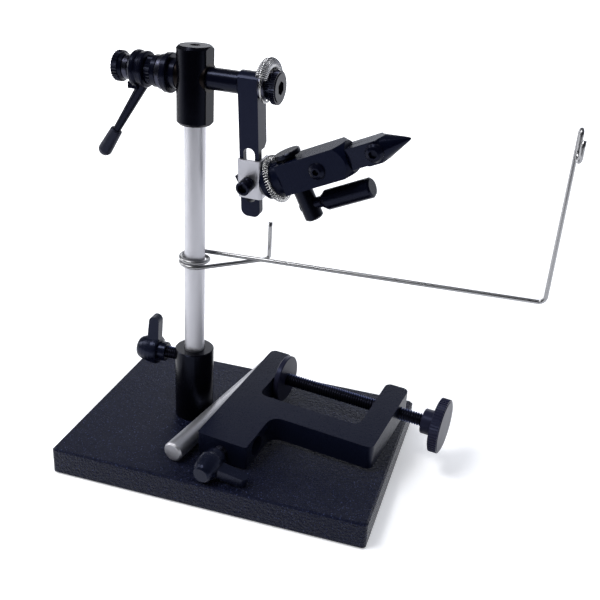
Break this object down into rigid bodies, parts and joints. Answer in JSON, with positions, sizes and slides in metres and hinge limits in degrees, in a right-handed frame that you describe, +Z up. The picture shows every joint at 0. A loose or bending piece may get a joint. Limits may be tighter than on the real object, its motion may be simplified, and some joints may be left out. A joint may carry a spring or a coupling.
{
  "type": "fly tying vise",
  "caption": "Rotary fly tying vise on a round post with a flat pedestal base, drop arm with cam jaws, bobbin rest, loose C-clamp and spare stem.",
  "frame": {"origin": "middle of the base, on its underside", "axes": "+X along the long side of the base towards the jaws, +Y away from the tyer, +Z up along the post"},
  "size_m": [0.2112, 0.1076, 0.1944],
  "materials": {
    "base_coat": "fine satin powder coat",
    "black_anodised": "black anodised, semi-gloss",
    "black_steel": "black oxide, semi-gloss",
    "black_plastic": "satin moulded plastic",
    "stem_steel": "satin ground",
    "bright_steel": "satin",
    "wire": "drawn wire",
    "dark_steel": "dark oiled steel",
    "bronze": "plain",
    "pad": "matt"
  },
  "bodies": {
    "base": {"base_plate": "base_coat", "base_pad": "pad", "post_socket": "black_steel", "socket_bolt": "dark_steel"},
    "post_stud": {"post_screw_stud": "dark_steel"},
    "post_knob": {"post_screw_knob": "black_plastic"},
    "post": {"post": "stem_steel"},
    "bobbin_rest": {"bobbin_rest": "wire"},
    "head": {"head_block": "black_anodised", "spindle_bushes": "bronze", "head_grub_screws": "dark_steel", "bearing_flange": "black_anodised"},
    "rotor": {"spindle": "black_steel", "friction_washer": "dark_steel", "crank_hub": "black_anodised", "crank_clamp_screw": "dark_steel", "crank_lever": "black_steel", "crank_grip": "black_plastic", "end_washer": "dark_steel", "drop_arm": "black_anodised", "spring_hub": "dark_steel"},
    "tension_ring": {"tension_ring": "black_steel"},
    "end_knob": {"end_knob": "black_steel"},
    "lock_knob": {"lock_knob": "black_steel"},
    "material_clip": {"spring_hoop": "wire", "material_spring": "wire"},
    "jaw_slide": {"slide_bracket": "bright_steel", "bracket_spacer": "black_steel", "bracket_screw": "black_steel", "clamp_nut": "dark_steel", "jaw_collar": "black_steel", "collar_spring": "wire", "jaw_body": "black_steel", "jaw_pin_screw": "black_steel"},
    "cam": {"cam_shaft": "black_steel", "cam_disc": "black_steel", "cam_lever": "black_steel"},
    "far_jaw": {"far_jaw": "black_steel"},
    "near_jaw": {"near_jaw": "black_steel", "jaw_tension_screw": "black_steel"},
    "clamp": {"clamp_frame": "base_coat"},
    "clamp_screw": {"clamp_screw": "dark_steel", "clamp_pad": "black_steel"},
    "clamp_knob": {"clamp_knob": "black_steel"},
    "stem_stud": {"stem_screw_stud": "dark_steel"},
    "stem_knob": {"stem_screw_knob": "black_plastic"},
    "spare_stem": {"spare_stem": "stem_steel"}
  },
  "joints": [
    {"name": "post_stud_travel", "type": "slide", "parent": "base", "child": "post_stud", "axis": [-1, 0, 0], "range_m": [0, 0.002]},
    {"name": "post_knob_turn", "type": "hinge", "parent": "post_stud", "child": "post_knob", "pos_m": [-0.027, 0.001, 0.0449], "axis": [-1, 0, 0], "range_deg": [0, 760]},
    {"name": "post_height", "type": "slide", "parent": "base", "child": "post", "axis": [0, 0, 1], "range_m": [0, 0.02]},
    {"name": "bobbin_rest_turn", "type": "hinge", "parent": "post", "child": "bobbin_rest", "pos_m": [-0.027, 0.001, 0.1815], "axis": [0, 0, 1], "continuous": true},
    {"name": "head_turn", "type": "hinge", "parent": "post", "child": "head", "pos_m": [-0.027, 0.001, 0.1815], "axis": [0, 0, 1], "continuous": true},
    {"name": "spindle_turn", "type": "hinge", "parent": "head", "child": "rotor", "pos_m": [-0.027, 0.001, 0.1815], "axis": [0.9962, -0.0872, 0], "continuous": true},
    {"name": "tension_ring_turn", "type": "hinge", "parent": "rotor", "child": "tension_ring", "pos_m": [-0.027, 0.001, 0.1815], "axis": [0.9962, -0.0872, 0], "range_deg": [-180, 180]},
    {"name": "end_knob_turn", "type": "hinge", "parent": "rotor", "child": "end_knob", "pos_m": [-0.027, 0.001, 0.1815], "axis": [0.9962, -0.0872, 0], "range_deg": [-180, 180]},
    {"name": "lock_knob_turn", "type": "hinge", "parent": "rotor", "child": "lock_knob", "pos_m": [-0.027, 0.001, 0.1815], "axis": [0.9962, -0.0872, 0], "range_deg": [-180, 180]},
    {"name": "material_clip_turn", "type": "hinge", "parent": "rotor", "child": "material_clip", "pos_m": [-0.027, 0.001, 0.1815], "axis": [0.9962, -0.0872, 0], "range_deg": [-90, 90]},
    {"name": "jaw_slide_travel", "type": "slide", "parent": "rotor", "child": "jaw_slide", "axis": [-0.0106, -0.1214, 0.9925], "range_m": [-0.0065, 0.0065]},
    {"name": "cam_turn", "type": "hinge", "parent": "jaw_slide", "child": "cam", "pos_m": [0.01959, 0.00138, 0.14534], "axis": [-0.4385, -0.0721, 0.8959], "range_deg": [0, 90]},
    {"name": "far_jaw_turn", "type": "hinge", "parent": "jaw_slide", "child": "far_jaw", "pos_m": [0.05573, -0.00391, 0.1626], "axis": [-0.4385, -0.0721, 0.8959], "range_deg": [0, 1.1]},
    {"name": "near_jaw_turn", "type": "hinge", "parent": "jaw_slide", "child": "near_jaw", "pos_m": [0.05573, -0.00391, 0.1626], "axis": [-0.4385, -0.0721, 0.8959], "range_deg": [-1.1, 0]},
    {"name": "clamp_lift", "type": "slide", "parent": "base", "child": "clamp", "axis": [0, 0, 1], "range_m": [0, 0.05]},
    {"name": "clamp_screw_travel", "type": "slide", "parent": "clamp", "child": "clamp_screw", "axis": [0.9906, -0.1357, -0.0175], "range_m": [0, 0.038]},
    {"name": "clamp_knob_turn", "type": "hinge", "parent": "clamp_screw", "child": "clamp_knob", "pos_m": [-0.00162, 0.03036, 0.02667], "axis": [0.9906, -0.1357, -0.0175], "range_deg": [0, 10802]},
    {"name": "stem_stud_travel", "type": "slide", "parent": "clamp", "child": "stem_stud", "axis": [-0.1367, -0.9866, -0.0889], "range_m": [0, 0.0004]},
    {"name": "stem_knob_turn", "type": "hinge", "parent": "stem_stud", "child": "stem_knob", "pos_m": [0.00206, -0.03519, 0.0207], "axis": [-0.1367, -0.9866, -0.0889], "range_deg": [0, 155]},
    {"name": "spare_stem_lift", "type": "slide", "parent": "base", "child": "spare_stem", "axis": [0, 0, 1], "range_m": [0, 0.05]}
  ],
  "couplings": [
    {"joint": "post_knob_turn", "follows": "post_stud_travel", "rad_per_m": 6283.2},
    {"joint": "clamp_knob_turn", "follows": "clamp_screw_travel", "rad_per_m": 4947.4},
    {"joint": "stem_knob_turn", "follows": "stem_stud_travel", "rad_per_m": 6283.2},
    {"joint": "far_jaw_turn", "follows": "cam_turn", "ratio": 0.0118},
    {"joint": "near_jaw_turn", "follows": "cam_turn", "ratio": -0.0118}
  ]
}
